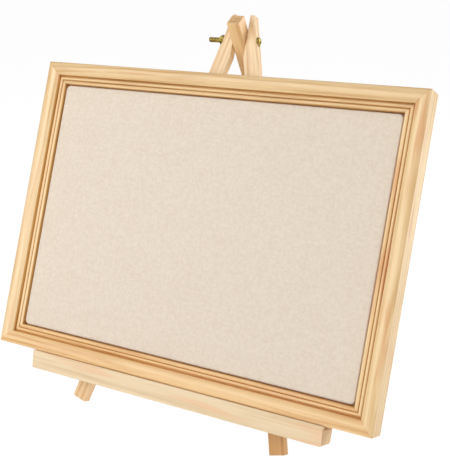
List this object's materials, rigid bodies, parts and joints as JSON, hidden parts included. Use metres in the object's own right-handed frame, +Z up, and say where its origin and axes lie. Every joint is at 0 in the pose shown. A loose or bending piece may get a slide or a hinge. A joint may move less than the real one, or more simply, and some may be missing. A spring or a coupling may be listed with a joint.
{
  "type": "tabletop easel",
  "caption": "Folding pine tabletop easel with a lipped ledge and a bolted rear leg, holding a lift-off framed board padded and covered in linen.",
  "frame": {"origin": "on the table, under the middle of the whole object's box, with the rear leg open", "axes": "+X to the viewer's right, +Y to the back, +Z up"},
  "size_m": [0.3204, 0.2948, 0.2991],
  "materials": {
    "pine_stick": "planed, thin clear lacquer",
    "pine_ledge": "sanded, unfinished",
    "pine_moulding": "moulded, thin satin lacquer",
    "yellow_zinc": "yellow passivated, semi-gloss",
    "zinc_screw": "bright zinc",
    "brassed_steel": "plated, stamped",
    "hardboard": "smooth pressed board",
    "fibreboard": "raw fibreboard",
    "foam": "soft open foam",
    "linen": "plain weave linen"
  },
  "bodies": {
    "stand": {"left_leg": "pine_stick", "right_leg": "pine_stick", "ledge": "pine_ledge", "ledge_screws": "zinc_screw", "pivot_bolt": "yellow_zinc"},
    "strut": {"rear_leg": "pine_stick"},
    "clamp_nut": {"pivot_nut": "yellow_zinc"},
    "display_board": {"frame_rail_bottom": "pine_moulding", "frame_rail_right": "pine_moulding", "frame_rail_top": "pine_moulding", "frame_rail_left": "pine_moulding", "corner_nails": "zinc_screw", "button_screws": "zinc_screw", "backing_board": "hardboard", "core_board": "fibreboard", "foam_pad": "foam", "linen_cover": "linen"},
    "button_bottom_left": {"turn_button_bottom_left": "brassed_steel"},
    "button_bottom_right": {"turn_button_bottom_right": "brassed_steel"},
    "button_top_left": {"turn_button_top_left": "brassed_steel"},
    "button_top_right": {"turn_button_top_right": "brassed_steel"}
  },
  "joints": [
    {"name": "strut_fold", "type": "hinge", "parent": "stand", "child": "strut", "pos_m": [0.0015, -0.02686, 0.2798], "axis": [1, 0, 0], "range_deg": [-47, 15]},
    {"name": "nut_turn", "type": "hinge", "parent": "stand", "child": "clamp_nut", "pos_m": [0.0015, -0.02686, 0.2798], "axis": [-1, 0, 0], "range_deg": [0, 180]},
    {"name": "board_lift_off", "type": "slide", "parent": "stand", "child": "display_board", "axis": [0, -0.5, 0.866], "range_m": [0, 0.06]},
    {"name": "button_bottom_left_turn", "type": "hinge", "parent": "display_board", "child": "button_bottom_left", "pos_m": [-0.12, -0.12363, 0.03955], "axis": [0, 0.933, -0.36], "range_deg": [-90, 90]},
    {"name": "button_bottom_right_turn", "type": "hinge", "parent": "display_board", "child": "button_bottom_right", "pos_m": [0.12, -0.12363, 0.03955], "axis": [0, 0.933, -0.36], "range_deg": [-90, 90]},
    {"name": "button_top_left_turn", "type": "hinge", "parent": "display_board", "child": "button_top_left", "pos_m": [-0.12, -0.04362, 0.2469], "axis": [0, 0.933, -0.36], "range_deg": [-90, 90]},
    {"name": "button_top_right_turn", "type": "hinge", "parent": "display_board", "child": "button_top_right", "pos_m": [0.12, -0.04362, 0.2469], "axis": [0, 0.933, -0.36], "range_deg": [-90, 90]}
  ]
}
